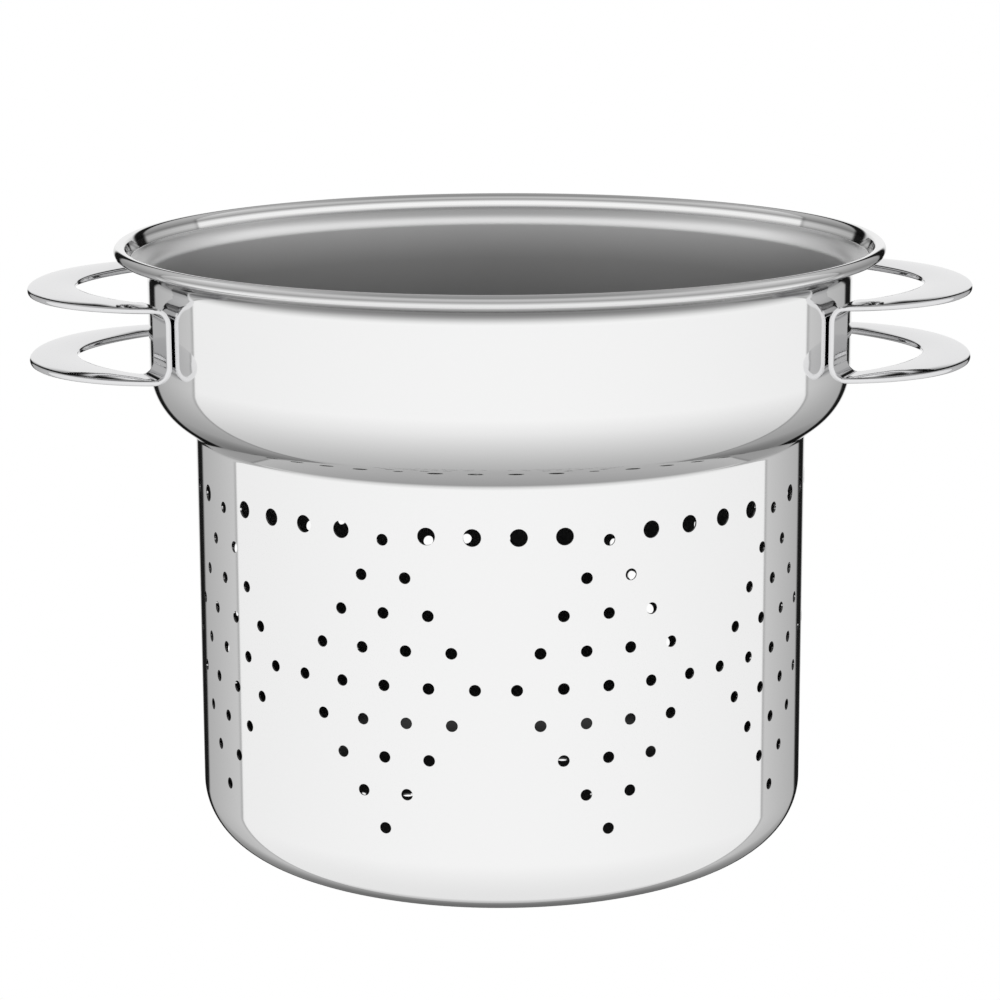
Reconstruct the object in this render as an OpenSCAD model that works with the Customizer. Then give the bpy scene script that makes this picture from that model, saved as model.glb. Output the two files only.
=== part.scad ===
// Deep strainer insert of a pasta pot: a perforated basket, a plain bowl above it
// that widens over a conical shoulder, a rolled rim, and two folded strip handles.
// Millimetres. The origin is the centre of the underside, +Z is up, the handles lie
// along X, and the near side is -Y.

/* [Body] */
// inner diameter of the plain bowl
bowl_inner_d = 240; // [200:1:300]
// outer diameter of the perforated basket
basket_d = 211; // [160:1:230]
// thickness of the sheet
sheet_t = 0.6; // [0.5:0.1:1.2]
// height of the sharp corner where the basket meets the shoulder cone
shoulder_z = 145.6; // [120:0.2:180]
// slope of the shoulder cone above the horizontal
cone_angle = 38; // [25:1:60]
// mid-sheet radius of the curve from the cone up to the bowl wall
bowl_curve_r = 21.6; // [10:0.2:25]
// mid-sheet radius of the curve from the basket out to the cone
basket_curve_r = 2.4; // [1.5:0.1:6]
// mid-sheet radius round the edge of the base
base_curve_r = 20.8; // [8:0.2:30]

/* [Rim] */
// overall height, to the top of the rolled rim
total_h = 210.4; // [190:0.2:240]
// outer diameter over the rolled rim
rim_d = 263.4; // [250:0.2:330]
// diameter of the rolled bead
bead_d = 4.2; // [3.4:0.1:6]
// mid-sheet radius of the curve from the bowl wall out to the flange
flange_curve_r = 5.7; // [3:0.1:7]
// slope of the flange above the horizontal
flange_slope = 7; // [0:1:15]
// slope of the short riser between the flange and the bead
riser_slope = 70; // [55:1:80]
// mid-sheet radius of the bend between the flange and the riser
riser_bend_r = 0.9; // [0.8:0.1:1.5]
// drop from the middle of the bead to the middle of that bend
riser_drop = 2.4; // [2:0.1:4]
// angle, seen from the middle of the bead, at which the curled edge ends
curl_end = -115; // [-130:1:-60]

/* [Side perforation] */
// number of times that the diamond pattern repeats round the basket
pattern_count = 9; // [6:1:12]
// turn of the whole pattern about the axis
pattern_turn = -0.95; // [-20:0.05:20]
// diameter of the small holes
hole_d = 3.9; // [2:0.1:5]
// diameter of the larger holes in the top row
large_hole_d = 5.8; // [4:0.1:7]
// holes in the widest row of a diamond
diamond_rows = 5; // [3:1:5]
// angle between neighbouring small holes
hole_step = 8.18; // [7.5:0.01:8.3]
// large holes between two diamond tips
large_holes = 4; // [2:1:4]
// angle between neighbouring large holes
large_hole_step = 8; // [7.5:0.1:8.5]
// height of the lowest row of holes
first_row_z = 31.5; // [28:0.5:40]
// height between two rows of holes
row_step = 12; // [9:0.5:12.5]
// how far the large holes stand above the diamond tips
large_hole_lift = 2; // [0:0.5:4]

/* [Base perforation] */
// rings of holes round the centre hole
base_rings = 5; // [3:1:5]
// radius step from one ring to the next
base_ring_step = 15; // [12:0.5:16]

/* [Handles] */
// width of the handle strip where it lies on the bowl wall
strip_w = 16; // [12:0.5:20]
// thickness of the handle strip
strip_t = 1.8; // [1.2:0.1:3]
// rounding of the strip's edges
strip_edge_r = 0.6; // [0.2:0.1:0.9]
// angle round the bowl from the handle's middle to the middle of a strap
strap_angle = 24; // [18:0.5:30]
// height of the upper loop's middle
upper_loop_z = 194.6; // [188:0.2:198]
// height between the middles of the two loops
loop_gap = 23.9; // [20:0.1:40]
// middle radius of the bends between strap and loops
strip_bend_r = 5; // [2.5:0.1:7]
// reach of the loops from the axis to their outer tip
handle_reach = 161.8; // [150:0.2:200]
// width of the loops at the tip
tip_w = 15.8; // [12:0.2:20]

/* [Spot welds] */
// gap that the welds bridge between the bowl wall and the strap
weld_gap = 0.25; // [0.1:0.05:0.5]
// diameter of a weld
weld_d = 3.2; // [2:0.1:6]
// height between the two welds of a strap
weld_step = 7.2; // [5:0.1:10]

/* [Hidden] */
half_t = sheet_t / 2;
// mid-sheet radii of the basket and the bowl
basket_r = basket_d / 2 - half_t;
bowl_r = bowl_inner_d / 2 + half_t;
wall_r = bowl_r + half_t;

// height at which the mid-lines of the basket and the cone would cross
cone_z = shoulder_z + half_t * (1 - sin(cone_angle)) / cos(cone_angle);
basket_curve = [basket_r + basket_curve_r,
    cone_z - basket_curve_r * (1 - sin(cone_angle)) / cos(cone_angle)];
bowl_curve = [bowl_r - bowl_curve_r,
    cone_z + ((bowl_r - bowl_curve_r - basket_r) * sin(cone_angle) + bowl_curve_r) / cos(cone_angle)];

// the rolled bead and the bends that lead up to it
bead_r = bead_d / 2 - half_t;
bead = [rim_d / 2 - bead_d / 2, total_h - bead_d / 2];
riser_top = bead + polar(bead_r, 90 + riser_slope);
riser_bend_z = bead[1] - riser_drop;
riser_bottom_z = riser_bend_z - riser_bend_r * sin(90 - riser_slope);
riser_bend = [riser_top[0] - (riser_top[1] - riser_bottom_z) / tan(riser_slope)
    - riser_bend_r * cos(90 - riser_slope), riser_bend_z];
flange_out = riser_bend + polar(riser_bend_r, flange_slope - 90);
flange_curve_x = bowl_r + flange_curve_r;
flange_in_x = flange_curve_x - flange_curve_r * sin(flange_slope);
flange_in_z = flange_out[1] - (flange_out[0] - flange_in_x) * tan(flange_slope);
flange_curve = [flange_curve_x, flange_in_z - flange_curve_r * cos(flange_slope)];

// the sheet's bends from the base to the rim: centre, mid-sheet radius, start and end angle
bends = [
    [[basket_r - base_curve_r, base_curve_r + half_t], base_curve_r, -90, 0],
    [basket_curve, basket_curve_r, 180, 90 + cone_angle],
    [bowl_curve, bowl_curve_r, cone_angle - 90, 0],
    [flange_curve, flange_curve_r, 180, 90 + flange_slope],
    [riser_bend, riser_bend_r, flange_slope - 90, riser_slope - 90],
    [bead, bead_r, 90 + riser_slope, curl_end]
];
bend_step = 7.5;
facets = 96;
slack = 1;

// handle outline, seen from above and measured from the axis along the handle
strap_r = wall_r + weld_gap + strip_t / 2;
strap_out = [cos(strap_angle), sin(strap_angle)];
strap_side = [-sin(strap_angle), cos(strap_angle)];
loop_start = strap_out * (strap_r + strip_bend_r);
outer_start = loop_start + strap_side * strip_w / 2;
inner_start = loop_start - strap_side * strip_w / 2;
inner_reach = handle_reach - tip_w;
lower_loop_z = upper_loop_z - loop_gap;
outer_edge = [outer_start, outer_start + [0.4, 0.03] * (handle_reach - outer_start[0]),
    [handle_reach, outer_start[1] * 0.75], [handle_reach, 0]];
inner_edge = [inner_start, inner_start + [0.12, 0.04] * (inner_reach - inner_start[0]),
    [inner_reach, inner_start[1] * 0.5], [inner_reach, 0]];
loop_steps = 18;
bend_steps = 6;
edge_steps = 2;
rows = 2 * diamond_rows - 1;
weld_z = (upper_loop_z + lower_loop_z) / 2;

function polar(r, a) = [r * cos(a), r * sin(a)];

// one face of the sheet through the bends: side is 1 for the outer face, -1 for the inner
function sheet_face(side) = [for (b = bends)
    let (left = b[3] > b[2],
         r = b[1] + (left ? side : -side) * half_t,
         n = max(2, ceil(abs(b[3] - b[2]) / bend_step)))
    for (i = [0:n]) b[0] + polar(r, b[2] + (b[3] - b[2]) * i / n)];

function flip(list) = [for (i = [len(list) - 1:-1:0]) list[i]];

module sheet_profile() {
    polygon(concat([[0, 0]], sheet_face(1), flip(sheet_face(-1)), [[0, sheet_t]]));
}

module radial_hole(angle, z, d) {
    rotate([0, 0, angle]) translate([0, -basket_d / 2 - slack, z]) rotate([-90, 0, 0])
        cylinder(h = sheet_t + 2 * slack, d = d, $fn = 24);
}

// one diamond of small holes and the large holes on its right
module diamond(angle) {
    for (row = [0:rows - 1]) {
        count = diamond_rows - abs(row - diamond_rows + 1);
        for (i = [0:count - 1])
            radial_hole(angle + (i - (count - 1) / 2) * hole_step, first_row_z + row * row_step, hole_d);
    }
    large_z = first_row_z + (rows - 1) * row_step + large_hole_lift;
    for (i = [0:large_holes - 1])
        radial_hole(angle + 180 / pattern_count + (i - (large_holes - 1) / 2) * large_hole_step,
            large_z, large_hole_d);
}

module base_holes() {
    translate([0, 0, -slack]) {
        cylinder(h = sheet_t + 2 * slack, d = hole_d, $fn = 24);
        for (ring = [1:base_rings], i = [0:6 * ring - 1])
            rotate([0, 0, 60 / ring * i]) translate([ring * base_ring_step, 0, 0])
                cylinder(h = sheet_t + 2 * slack, d = hole_d, $fn = 24);
    }
}

module insert_body() {
    color([0.86, 0.86, 0.87]) difference() {
        rotate_extrude($fn = facets) sheet_profile();
        for (k = [0:pattern_count - 1])
            diamond(pattern_turn + (k + 0.5) * 360 / pattern_count);
        base_holes();
    }
}

function bezier(c, t) = c[0] * pow(1 - t, 3) + c[1] * 3 * t * pow(1 - t, 2)
    + c[2] * 3 * pow(t, 2) * (1 - t) + c[3] * pow(t, 3);
function on_side(p, s, z) = [p[0], p[1] * s, z];

// a station across the strip: its inner edge, its outer edge, and the direction its face looks
function loop_station(t, s, z, face) =
    [on_side(bezier(inner_edge, t), s, z), on_side(bezier(outer_edge, t), s, z), [0, 0, face]];
// the bend between a loop and a strap: angle 0 at the loop, 90 at the strap
function bend_station(a, s, z, face) =
    let (c = strap_out * (strap_r + strip_bend_r * (1 - sin(a))), w = strap_side * strip_w / 2,
         h = z - face * strip_bend_r * (1 - cos(a)), look = on_side(-strap_out * sin(a), s, face * cos(a)))
    [on_side(c - w, s, h), on_side(c + w, s, h), look];

// half a loop with its bend, from the tip in to the strap, on the side s
function half_strip(s, z, face) = concat(
    [for (i = [0:loop_steps]) loop_station(1 - i / loop_steps, s, z, face)],
    [for (i = [1:bend_steps]) bend_station(90 * i / bend_steps, s, z, face)]);
function after_tip(list) = [for (i = [1:len(list) - 1]) list[i]];

// the whole closed strip, from the upper tip down one strap and up the other
stations = concat(half_strip(-1, upper_loop_z, 1), flip(half_strip(-1, lower_loop_z, -1)),
    after_tip(half_strip(1, lower_loop_z, -1)), flip(after_tip(half_strip(1, upper_loop_z, 1))));

// the strip's rounded section at a station
function section(q) =
    let (across = q[1] - q[0], w = norm(across) / 2 - strip_edge_r, e = across / norm(across),
         m = (q[0] + q[1]) / 2, k = strip_t / 2 - strip_edge_r)
    [for (corner = [0:3], i = [0:edge_steps])
        let (a = 90 * corner + 90 * i / edge_steps, sx = (corner == 0 || corner == 3) ? 1 : -1,
             sy = corner < 2 ? 1 : -1)
        m + e * (sx * w + strip_edge_r * cos(a)) + q[2] * (sy * k + strip_edge_r * sin(a))];

module strip_handle() {
    ring = 4 * (edge_steps + 1);
    n = len(stations);
    points = [for (q = stations) each section(q)];
    faces = [for (i = [0:n - 1], j = [0:ring - 1])
        let (a = i * ring + j, b = i * ring + (j + 1) % ring,
             c = ((i + 1) % n) * ring + (j + 1) % ring, d = ((i + 1) % n) * ring + j)
        each [[a, d, c], [a, c, b]]];
    polyhedron(points = points, faces = faces, convexity = 8);
}

module handle_right() {
    color([0.84, 0.84, 0.85]) strip_handle();
}

module handle_left() {
    color([0.84, 0.84, 0.85]) mirror([1, 0, 0]) strip_handle();
}

// the four welds of one handle, from the bowl wall out to the straps
module handle_welds() {
    for (s = [-1, 1], k = [-1, 1])
        rotate([0, 0, s * strap_angle]) translate([wall_r, 0, weld_z + k * weld_step / 2])
            rotate([0, 90, 0]) cylinder(h = weld_gap, d = weld_d, $fn = 24);
}

module spot_welds_right() {
    color([0.7, 0.7, 0.72]) handle_welds();
}

module spot_welds_left() {
    color([0.7, 0.7, 0.72]) mirror([1, 0, 0]) handle_welds();
}

insert_body();
handle_left();
handle_right();
spot_welds_left();
spot_welds_right();
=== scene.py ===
# %% [markdown]
# # A deep pasta strainer insert in polished steel
# The insert is one drawn sheet with a folded strip handle on each side. It is built
# here from simple primitives, in metres, on the frame of the CAD part. The sizes
# below are the CAD part's own, in millimetres, and MM turns them into metres.

# %% Load the frame
from math import sin, cos, tan, pi, radians
import bpy
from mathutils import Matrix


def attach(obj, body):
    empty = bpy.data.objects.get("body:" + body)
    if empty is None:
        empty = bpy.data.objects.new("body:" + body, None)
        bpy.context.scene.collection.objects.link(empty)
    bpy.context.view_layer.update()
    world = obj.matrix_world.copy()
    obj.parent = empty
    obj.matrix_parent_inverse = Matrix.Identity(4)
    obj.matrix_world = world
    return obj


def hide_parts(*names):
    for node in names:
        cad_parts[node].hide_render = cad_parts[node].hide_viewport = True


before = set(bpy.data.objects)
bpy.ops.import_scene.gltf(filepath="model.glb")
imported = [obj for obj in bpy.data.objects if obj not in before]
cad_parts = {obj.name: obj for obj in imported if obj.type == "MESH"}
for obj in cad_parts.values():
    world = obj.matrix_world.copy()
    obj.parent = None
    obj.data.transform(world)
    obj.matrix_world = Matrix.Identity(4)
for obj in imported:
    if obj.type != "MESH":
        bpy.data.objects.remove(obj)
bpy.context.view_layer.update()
MM = 0.001
print("CAD nodes", sorted(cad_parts))

# %% [markdown]
# ## The sheet's profile
# The real body is drawn from one sheet: base, basket, shoulder cone, bowl, flange and
# rolled bead. A profile made of arcs suits it, since the straight walls are then only
# the lines between two bends. Each bend keeps one middle radius and is offset by half
# the sheet to both sides, so the two faces stay parallel.

# %% Sizes of the sheet
HALF_SHEET = 0.3
BASKET_R, BOWL_R = 105.2, 120.3
BASE_BEND, BASKET_BEND, BOWL_BEND = 20.8, 2.4, 21.6
SHOULDER_Z, CONE_SLOPE = 145.6, 38
FLANGE_BEND, FLANGE_SLOPE = 5.7, 7
RISER_BEND, RISER_BEND_Z, RISER_SLOPE = 0.9, 205.9, 70
BEAD_R, BEAD_X, BEAD_Z, CURL_END = 1.8, 129.6, 208.3, -115
DEGREES_PER_POINT, FEWEST_POINTS = 4, 5

def polar(x, z, r, angle):
    return x + r * cos(radians(angle)), z + r * sin(radians(angle))

def arc(x, z, r, first, last, count):
    return [polar(x, z, r, first + (last - first) * i / count) for i in range(count + 1)]

# %% Centres of the bends
cone_sin, cone_cos = sin(radians(CONE_SLOPE)), cos(radians(CONE_SLOPE))
cone_z = SHOULDER_Z + HALF_SHEET * (1 - cone_sin) / cone_cos
basket_bend_z = cone_z - BASKET_BEND * (1 - cone_sin) / cone_cos
bowl_bend_x = BOWL_R - BOWL_BEND
bowl_bend_z = cone_z + ((bowl_bend_x - BASKET_R) * cone_sin + BOWL_BEND) / cone_cos

riser_top = polar(BEAD_X, BEAD_Z, BEAD_R, 90 + RISER_SLOPE)
riser_lean = radians(90 - RISER_SLOPE)
riser_rise = riser_top[1] - RISER_BEND_Z + RISER_BEND * sin(riser_lean)
riser_bend_x = riser_top[0] - riser_rise / tan(radians(RISER_SLOPE)) - RISER_BEND * cos(riser_lean)

flange_end = polar(riser_bend_x, RISER_BEND_Z, RISER_BEND, FLANGE_SLOPE - 90)
flange_tilt = radians(FLANGE_SLOPE)
flange_bend_x = BOWL_R + FLANGE_BEND
flange_run = flange_end[0] - (flange_bend_x - FLANGE_BEND * sin(flange_tilt))
flange_bend_z = flange_end[1] - flange_run * tan(flange_tilt) - FLANGE_BEND * cos(flange_tilt)

bends = [(BASKET_R - BASE_BEND, BASE_BEND + HALF_SHEET, BASE_BEND, -90, 0),
         (BASKET_R + BASKET_BEND, basket_bend_z, BASKET_BEND, 180, 90 + CONE_SLOPE),
         (bowl_bend_x, bowl_bend_z, BOWL_BEND, CONE_SLOPE - 90, 0),
         (flange_bend_x, flange_bend_z, FLANGE_BEND, 180, 90 + FLANGE_SLOPE),
         (riser_bend_x, RISER_BEND_Z, RISER_BEND, FLANGE_SLOPE - 90, RISER_SLOPE - 90),
         (BEAD_X, BEAD_Z, BEAD_R, 90 + RISER_SLOPE, CURL_END)]

def sheet_face(side):
    points = []
    for x, z, r, first, last in bends:
        offset = (side if last > first else -side) * HALF_SHEET
        count = max(FEWEST_POINTS, int(abs(last - first) / DEGREES_PER_POINT))
        points += arc(x, z, r + offset, first, last, count)
    return points

profile = sheet_face(1) + sheet_face(-1)[::-1]
print("profile points", len(profile))

# %% [markdown]
# ## Turning the body
# Spin does what the drawing press does, and gives a true round. A plane is merged to
# one vertex, that vertex is extruded along the profile, and Spin turns the line round
# the axis. The ends on the axis are then merged, which closes the base.

# %% Spin the body
SPIN_STEPS, MERGE_BODY, SMOOTH_BODY = 240, 0.000002, 32

def select_none():
    for thing in bpy.context.selected_objects:
        thing.select_set(False)

select_none()
bpy.ops.mesh.primitive_plane_add(size=0.001)
body = bpy.context.object
body.name = "insert_body_polished"
bpy.ops.object.mode_set(mode="EDIT")
bpy.ops.mesh.select_all(action="SELECT")
bpy.ops.mesh.merge(type="CENTER")
here = (0.0, 0.0)
for point in profile + [(0.0, 2 * HALF_SHEET)]:
    step = ((point[0] - here[0]) * MM, 0, (point[1] - here[1]) * MM)
    bpy.ops.mesh.extrude_region_move(TRANSFORM_OT_translate={"value": step})
    here = point
bpy.ops.mesh.select_all(action="SELECT")
bpy.ops.mesh.spin(steps=SPIN_STEPS, angle=2 * pi, center=(0, 0, 0), axis=(0, 0, 1))
bpy.ops.mesh.select_all(action="SELECT")
bpy.ops.mesh.remove_doubles(threshold=MERGE_BODY)
bpy.ops.mesh.normals_make_consistent(inside=False)
bpy.ops.object.mode_set(mode="OBJECT")
bpy.ops.object.shade_smooth_by_angle(angle=radians(SMOOTH_BODY))
bpy.ops.object.duplicate()
uncut = bpy.context.object
print("turned body faces", len(body.data.polygons))

# %% [markdown]
# ## Perforating the body
# On the real basket a diamond of small holes repeats nine times, with four larger
# holes between the tips. The base's own pattern is hidden in the photograph, so its
# rings are a guess. All the cutters are joined and taken away in one Boolean, which
# is quicker than one Boolean for each hole.

# %% Sizes of the holes
REPEATS, PATTERN_TURN = 9, -0.95
DIAMOND, HOLE_D, HOLE_STEP, FIRST_ROW_Z, ROW_STEP = 5, 3.9, 8.18, 31.5, 12
LARGE_HOLES, LARGE_D, LARGE_STEP, LARGE_LIFT = 4, 5.8, 8, 2
BASE_RINGS, RING_STEP, FIRST_RING = 5, 15, 6
CUTTER_SIDES, CUTTER_LENGTH = 24, 6
ROWS = 2 * DIAMOND - 1
large_z = FIRST_ROW_Z + (ROWS - 1) * ROW_STEP + LARGE_LIFT
cutters = []

def cutter(place, rotation, d):
    bpy.ops.mesh.primitive_cylinder_add(vertices=CUTTER_SIDES, radius=d / 2 * MM,
                                        depth=CUTTER_LENGTH * MM, location=place, rotation=rotation)
    cutters.append(bpy.context.object)

def side_hole(angle, z, d):
    a = radians(angle)
    cutter((BASKET_R * MM * sin(a), -BASKET_R * MM * cos(a), z * MM), (pi / 2, 0, a), d)

def base_hole(r, angle):
    a = radians(angle)
    cutter((r * cos(a) * MM, r * sin(a) * MM, 0), (0, 0, 0), HOLE_D)

# %% Place the cutters
select_none()
for repeat in range(REPEATS):
    middle = PATTERN_TURN + (repeat + 0.5) * 360 / REPEATS
    for row in range(ROWS):
        count = DIAMOND - abs(row - (DIAMOND - 1))
        for i in range(count):
            side_hole(middle + (i - (count - 1) / 2) * HOLE_STEP, FIRST_ROW_Z + ROW_STEP * row, HOLE_D)
    for i in range(LARGE_HOLES):
        side_hole(middle + 180 / REPEATS + (i - (LARGE_HOLES - 1) / 2) * LARGE_STEP, large_z, LARGE_D)
base_hole(0, 0)
for ring in range(1, BASE_RINGS + 1):
    for i in range(FIRST_RING * ring):
        base_hole(RING_STEP * ring, 360 / FIRST_RING / ring * i)
print("cutters", len(cutters))

# %% Cut the holes
select_none()
for c in cutters:
    c.select_set(True)
bpy.context.view_layer.objects.active = cutters[0]
bpy.ops.object.join()
all_cutters = bpy.context.object
select_none()
body.select_set(True)
bpy.context.view_layer.objects.active = body
holes = body.modifiers.new("holes", "BOOLEAN")
holes.operation, holes.object, holes.solver = "DIFFERENCE", all_cutters, "EXACT"
bpy.ops.object.modifier_apply(modifier="holes")
bpy.data.objects.remove(all_cutters)
print("perforated body faces", len(body.data.polygons))

# %% [markdown]
# The cut leaves long thin faces round each hole, which would shade in stripes on
# polished steel. The uncut copy lends its normals to the sheet. The walls of the
# holes, which turn away from those normals, get their own back in code, because no
# operator picks them out as simply.

# %% Borrow smooth normals
SAME_WAY = 0.6
lend = body.modifiers.new("normals", "DATA_TRANSFER")
lend.object, lend.use_loop_data = uncut, True
lend.data_types_loops, lend.loop_mapping = {"CUSTOM_NORMAL"}, "POLYINTERP_NEAREST"
bpy.ops.object.modifier_apply(modifier="normals")
normals = [corner.vector.copy() for corner in body.data.corner_normals]
for wall in body.data.polygons:
    if wall.normal.dot(normals[wall.loop_start]) < SAME_WAY:
        for i in wall.loop_indices:
            normals[i] = wall.normal.copy()
body.data.normals_split_custom_set(normals)
bpy.data.objects.remove(uncut)
print("normals lent", len(normals))

# %% [markdown]
# ## Folding the handles
# A real handle is one stamped strip: an upper and a lower loop, joined by two straps
# that are welded to the bowl. Here a long grid becomes the strip. Its two edges follow
# curves along each loop, bend down at the strap and come back along the other loop.
# The vertices are placed by formula, since the edges are curves that the move and turn
# operators can't follow. The loops have a slight crown that the CAD strips don't have.
# It was added so that reflections bend across the strip, and wasn't measured.

# %% Sizes of the handles
STRAP_ANGLE, STRAP_R, STRIP_W, STRIP_T = 24, 121.75, 16, 1.8
STRIP_BEND, EDGE_ROUND, CROWN = 5, 0.7, 0.7
UPPER_Z, LOWER_Z = 194.6, 170.7
REACH, TIP_W = 161.8, 15.8
LOOP_STEPS, BEND_STEPS, CROWN_STEPS, STEPS_ACROSS = 24, 8, 8, 10
along = (cos(radians(STRAP_ANGLE)), sin(radians(STRAP_ANGLE)))
across = (-along[1], along[0])

def strip_point(r, side):
    half = side * STRIP_W / 2
    return along[0] * r + across[0] * half, along[1] * r + across[1] * half

def edge_curve(side, tip, lengthwise, sideways, fullness):
    root = strip_point(STRAP_R + STRIP_BEND, side)
    run = tip - root[0]
    return [root, (root[0] + lengthwise * run, root[1] + sideways * run),
            (tip, root[1] * fullness), (tip, 0)]

outer_edge = edge_curve(1, REACH, 0.4, 0.03, 0.75)
inner_edge = edge_curve(-1, REACH - TIP_W, 0.12, 0.04, 0.5)

def bezier(points, t):
    weights = ((1 - t) ** 3, 3 * t * (1 - t) ** 2, 3 * t * t * (1 - t), t ** 3)
    return [sum(w * p[axis] for w, p in zip(weights, points)) for axis in (0, 1)]

# %% Stations along the strip
def half_loop(y_side, z, down):
    rows = []
    for i in range(LOOP_STEPS + 1):
        t = 1 - i / LOOP_STEPS
        (ax, ay), (bx, by) = bezier(inner_edge, t), bezier(outer_edge, t)
        rows.append(((ax, ay * y_side, z), (bx, by * y_side, z), min(1, (LOOP_STEPS - i) / CROWN_STEPS)))
    for i in range(1, BEND_STEPS + 1):
        turn = radians(90 * i / BEND_STEPS)
        r = STRAP_R + STRIP_BEND * (1 - sin(turn))
        h = z - down * STRIP_BEND * (1 - cos(turn))
        (ax, ay), (bx, by) = strip_point(r, -1), strip_point(r, 1)
        rows.append(((ax, ay * y_side, h), (bx, by * y_side, h), 0))
    return rows

stations = (half_loop(-1, UPPER_Z, 1) + half_loop(-1, LOWER_Z, -1)[::-1]
            + half_loop(1, LOWER_Z, -1)[1:] + half_loop(1, UPPER_Z, 1)[::-1])
print("strip stations", len(stations))

# %% [markdown]
# Solidify gives the strip its thickness to both sides, and Bevel rounds its edges as
# the tumbling of the real strip does. The second handle is the first one's mirror.

# %% Fold both handles
MERGE_STRIP, SHARP_EDGE, SMOOTH_STRIP, ROUND_STEPS = 0.00001, 60, 40, 3

def place_strip(mesh, mirror):
    last = len(stations) - 1
    for v in mesh.vertices:
        f = v.co.y + 0.5
        a, b, pressed = stations[round((v.co.x + 0.5) * last)]
        x, y, z = (a[axis] + (b[axis] - a[axis]) * f for axis in range(3))
        v.co = (x * mirror * MM, y * MM, (z + 4 * CROWN * pressed * f * (1 - f)) * MM)

def fold_handle(node, mirror):
    select_none()
    bpy.ops.mesh.primitive_grid_add(x_subdivisions=len(stations) - 1, y_subdivisions=STEPS_ACROSS, size=1)
    strip = bpy.context.object
    strip.name = node + "_strip"
    place_strip(strip.data, mirror)
    bpy.ops.object.mode_set(mode="EDIT")
    bpy.ops.mesh.select_all(action="SELECT")
    bpy.ops.mesh.remove_doubles(threshold=MERGE_STRIP)
    bpy.ops.mesh.normals_make_consistent(inside=False)
    bpy.ops.object.mode_set(mode="OBJECT")
    thick = strip.modifiers.new("thick", "SOLIDIFY")
    thick.thickness, thick.offset = STRIP_T * MM, 0
    bpy.ops.object.modifier_apply(modifier="thick")
    edge = strip.modifiers.new("edge", "BEVEL")
    edge.width, edge.segments = EDGE_ROUND * MM, ROUND_STEPS
    edge.limit_method, edge.angle_limit = "ANGLE", radians(SHARP_EDGE)
    bpy.ops.object.modifier_apply(modifier="edge")
    bpy.ops.object.shade_smooth_by_angle(angle=radians(SMOOTH_STRIP))
    return strip

handles = {node: fold_handle(node, mirror) for node, mirror in (("handle_right", 1), ("handle_left", -1))}
print("handle faces", [len(strip.data.polygons) for strip in handles.values()])

# %% [markdown]
# ## Polished steel
# The steel is a metal with little roughness. A noise that is stretched round the axis
# varies that roughness along fine turned lines, so the polish isn't perfectly even.

# %% Steel
NOISE_SCALE, NOISE_FLAT = 10, 2

def steel(name, colour, smoothest, roughest, line_density):
    material = bpy.data.materials.new(name)
    material.use_nodes = True
    nodes, links = material.node_tree.nodes, material.node_tree.links
    shader = nodes["Principled BSDF"]
    shader.inputs["Metallic"].default_value = 1
    shader.inputs["Base Color"].default_value = (*colour, 1)
    place, stretch = nodes.new("ShaderNodeTexCoord"), nodes.new("ShaderNodeMapping")
    stretch.inputs["Scale"].default_value = (NOISE_FLAT, NOISE_FLAT, line_density)
    lines, spread = nodes.new("ShaderNodeTexNoise"), nodes.new("ShaderNodeMapRange")
    lines.inputs["Scale"].default_value = NOISE_SCALE
    spread.inputs["To Min"].default_value, spread.inputs["To Max"].default_value = smoothest, roughest
    links.new(place.outputs["Object"], stretch.inputs["Vector"])
    links.new(stretch.outputs["Vector"], lines.inputs["Vector"])
    links.new(lines.outputs["Fac"], spread.inputs["Value"])
    links.new(spread.outputs["Result"], shader.inputs["Roughness"])
    return material

mirror_steel = steel("mirror_steel", (0.88, 0.88, 0.89), 0.03, 0.07, 300)
strip_steel = steel("strip_steel", (0.78, 0.78, 0.79), 0.03, 0.07, 60)
weld_steel = steel("weld_steel", (0.6, 0.6, 0.62), 0.3, 0.5, 60)
print("steels", mirror_steel.name, strip_steel.name, weld_steel.name)

# %% [markdown]
# ## The body's two finishes, with painted shade and painted reflections
# The inside of the real sheet is brushed, darker and rougher than the outside. Its colour
# also carries painted light: a painted highlight under the rim, and painted shade that
# falls to near black in the basket. A face is inside when its normal points to the axis,
# which the dot product of normal and position tells. The position is lowered a little
# first, so that the base counts too.
# The tones by height are listed below. Inside, they fall from light under the rim to
# dark in the basket. Outside, they stand in for reflections that this studio doesn't
# give: the grey of the shoulder cone and the thin dark lines of the rolled bead.

# %% Tones by height
HEIGHT_TO_TONE = 4.5
# Inside: the real darker brushed tone, with a painted highlight under the rim and painted shade low in
# the basket
INSIDE_BRUSHED_AND_PAINTED_SHADE_TONES = [(0.64, 0.09), (0.72, 0.36), (0.84, 0.5), (0.92, 0.9)]
# Outside: the cone grey, the shade under the bead and the bead's dark lines are painted reflections
CONE_PAINTED_REFLECTION_TONES = [(0.655, 0.9), (0.66, 0.36), (0.7, 0.56), (0.765, 0.9)]
UNDER_BEAD_PAINTED_REFLECTION_TONES = [(0.9, 0.9), (0.912, 0.25), (0.924, 0.2), (0.928, 0.9)]
BEAD_LINE_PAINTED_REFLECTION_TONES = [(0.9365, 0.9), (0.938, 0.06), (0.9405, 0.06), (0.942, 0.9)]

def tone_ramp(nodes, links, source, tones):
    ramp = nodes.new("ShaderNodeValToRGB")
    while len(ramp.color_ramp.elements) < len(tones):
        ramp.color_ramp.elements.new(0.5)
    for stop, (position, value) in zip(ramp.color_ramp.elements, tones):
        stop.position, stop.color = position, (value, value, value, 1)
    links.new(source, ramp.inputs[0])
    return ramp.outputs[0]

def math_node(nodes, links, operation, first, *rest):
    node = nodes.new("ShaderNodeMath")
    node.operation = operation
    links.new(first, node.inputs[0])
    for i, value in enumerate(rest, 1):
        if isinstance(value, (int, float)):
            node.inputs[i].default_value = value
        else:
            links.new(value, node.inputs[i])
    return node.outputs[0]
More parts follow.
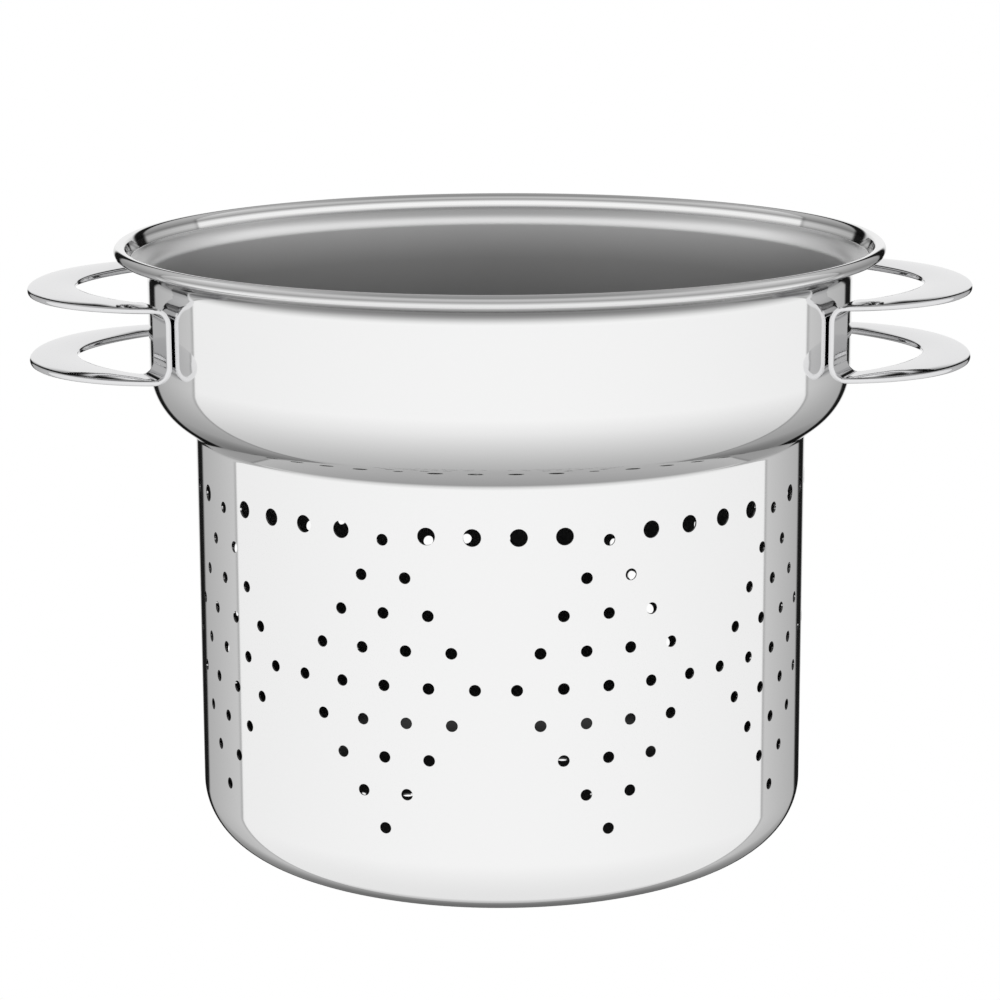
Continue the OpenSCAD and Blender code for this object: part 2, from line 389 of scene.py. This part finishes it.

# %% Brush the inside, and paint shade and a highlight into its colour
BASE_DROP, TOWARDS_AXIS, BRUSHED_TOP, BRUSHED_ROUGH = -0.02, -0.01, 0.2055, 0.38
nodes, links = mirror_steel.node_tree.nodes, mirror_steel.node_tree.links
place, lowered = nodes.new("ShaderNodeTexCoord"), nodes.new("ShaderNodeVectorMath")
lowered.operation = "MULTIPLY_ADD"
lowered.inputs[1].default_value, lowered.inputs[2].default_value = (1, 1, 0), (0, 0, BASE_DROP)
facing, split = nodes.new("ShaderNodeVectorMath"), nodes.new("ShaderNodeSeparateXYZ")
facing.operation = "DOT_PRODUCT"
links.new(place.outputs["Object"], lowered.inputs[0])
links.new(lowered.outputs[0], facing.inputs[0])
links.new(place.outputs["Normal"], facing.inputs[1])
links.new(place.outputs["Object"], split.inputs[0])
height = split.outputs["Z"]
inward = math_node(nodes, links, "LESS_THAN", facing.outputs["Value"], TOWARDS_AXIS)
below_rim = math_node(nodes, links, "LESS_THAN", height, BRUSHED_TOP)
inside = math_node(nodes, links, "MULTIPLY", inward, below_rim)
level = math_node(nodes, links, "MULTIPLY", height, HEIGHT_TO_TONE)

# The base colour mixes painted reflections outside with the brushed tone and painted shade inside
colour, rough = nodes.new("ShaderNodeMix"), nodes.new("ShaderNodeMix")
colour.data_type = "RGBA"
outside_painted_reflection_tones = CONE_PAINTED_REFLECTION_TONES + UNDER_BEAD_PAINTED_REFLECTION_TONES + BEAD_LINE_PAINTED_REFLECTION_TONES
links.new(inside, colour.inputs[0])
links.new(tone_ramp(nodes, links, level, outside_painted_reflection_tones), colour.inputs[6])
links.new(tone_ramp(nodes, links, level, INSIDE_BRUSHED_AND_PAINTED_SHADE_TONES), colour.inputs[7])
shader = nodes["Principled BSDF"]
links.new(inside, rough.inputs[0])
links.new(shader.inputs["Roughness"].links[0].from_socket, rough.inputs[2])
rough.inputs[3].default_value = BRUSHED_ROUGH
links.new(rough.outputs[0], shader.inputs["Roughness"])
links.new(colour.outputs[2], shader.inputs["Base Color"])
print("mirror_steel nodes", len(nodes))

# %% [markdown]
# ## Dressing the frame
# Each new piece rides the root body and stands in for its CAD node. The spot welds
# are plain discs under the straps, so the CAD nodes are shown as they are.

# %% Materials and slots
body.data.materials.append(mirror_steel)
for strip in handles.values():
    strip.data.materials.append(strip_steel)
for weld in ("spot_welds_left", "spot_welds_right"):
    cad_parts[weld].data.materials.clear()
    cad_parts[weld].data.materials.append(weld_steel)
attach(body, "root"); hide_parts("insert_body")
for node, strip in handles.items():
    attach(strip, "root"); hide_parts(node)
print("dressed", body.name, [strip.name for strip in handles.values()])

# %% [markdown]
# ## The studio
# The camera sees a plain white world, and there is no floor. Reflections see another
# world: a bright front, greyer flanks, a black band on each side at the back, and less
# light from straight above and from low behind. The steel's dark lines near its
# outline come from that band, so they change with the light.

# %% The world that the steel mirrors
FRONT_TO_BACK = [(0.0, 1.0), (0.715, 0.93), (0.722, 0.4), (0.735, 0.6),
                 (0.925, 0.45), (0.935, 0.01), (0.967, 0.01), (0.975, 0.9)]
FLOOR_TO_SKY = [(0.0, 0.9), (0.3, 1.0), (0.8, 1.0), (0.97, 0.35)]
LOW_BEHIND = [(0.0, 1.0), (0.8, 1.0), (0.86, 0.68), (0.93, 0.34)]
LOW_BEHIND_SCALE = 0.6667
world = bpy.data.worlds.new("studio")
bpy.context.scene.world = world
world.use_nodes = True
nodes, links = world.node_tree.nodes, world.node_tree.links
place, split = nodes.new("ShaderNodeTexCoord"), nodes.new("ShaderNodeSeparateXYZ")
links.new(place.outputs["Generated"], split.inputs[0])

def from_zero(source):
    return math_node(nodes, links, "MULTIPLY_ADD", source, 0.5, 0.5)

def multiply(first, second):
    both = nodes.new("ShaderNodeMix")
    both.data_type, both.blend_type = "RGBA", "MULTIPLY"
    both.inputs[0].default_value = 1
    links.new(first, both.inputs[6])
    links.new(second, both.inputs[7])
    return both.outputs[2]

behind = math_node(nodes, links, "SUBTRACT", split.outputs["Y"], split.outputs["Z"])
low_behind = math_node(nodes, links, "MULTIPLY", behind, LOW_BEHIND_SCALE)
front_tone = tone_ramp(nodes, links, from_zero(split.outputs["Y"]), FRONT_TO_BACK)
sky_tone = tone_ramp(nodes, links, from_zero(split.outputs["Z"]), FLOOR_TO_SKY)
low_tone = tone_ramp(nodes, links, low_behind, LOW_BEHIND)
mirrored = multiply(front_tone, multiply(sky_tone, low_tone))

seen, pick = nodes.new("ShaderNodeLightPath"), nodes.new("ShaderNodeMix")
pick.data_type = "RGBA"
pick.inputs[7].default_value = (1, 1, 1, 1)
links.new(seen.outputs["Is Camera Ray"], pick.inputs[0])
links.new(mirrored, pick.inputs[6])
links.new(pick.outputs[2], nodes["Background"].inputs["Color"])
print("world nodes", len(nodes))

# %% [markdown]
# ## The camera
# It was fitted to the holes and the rim in the photograph: it stands a little above
# the rim, looks at the middle of the part and is rolled by a fifth of a degree.

# %% Camera
ELEVATION, ROLL = radians(12.642), radians(-0.2201)
DISTANCE, AIM_Z, EYE_X = 1.0454, 0.11817, -0.00024
LENS, SENSOR = 107.5, 36
scene = bpy.context.scene
scene.view_settings.view_transform = "Standard"
camera = bpy.data.objects.new("camera", bpy.data.cameras.new("camera"))
scene.collection.objects.link(camera)
scene.camera = camera
camera.location = (EYE_X, -DISTANCE * cos(ELEVATION), AIM_Z + DISTANCE * sin(ELEVATION))
camera.rotation_mode = "ZXY"
camera.rotation_euler = (pi / 2 - ELEVATION, 0, 0)
camera.rotation_euler.rotate_axis("Z", ROLL)
camera.data.lens, camera.data.sensor_width = LENS, SENSOR
print("camera at", tuple(round(v, 3) for v in camera.location))
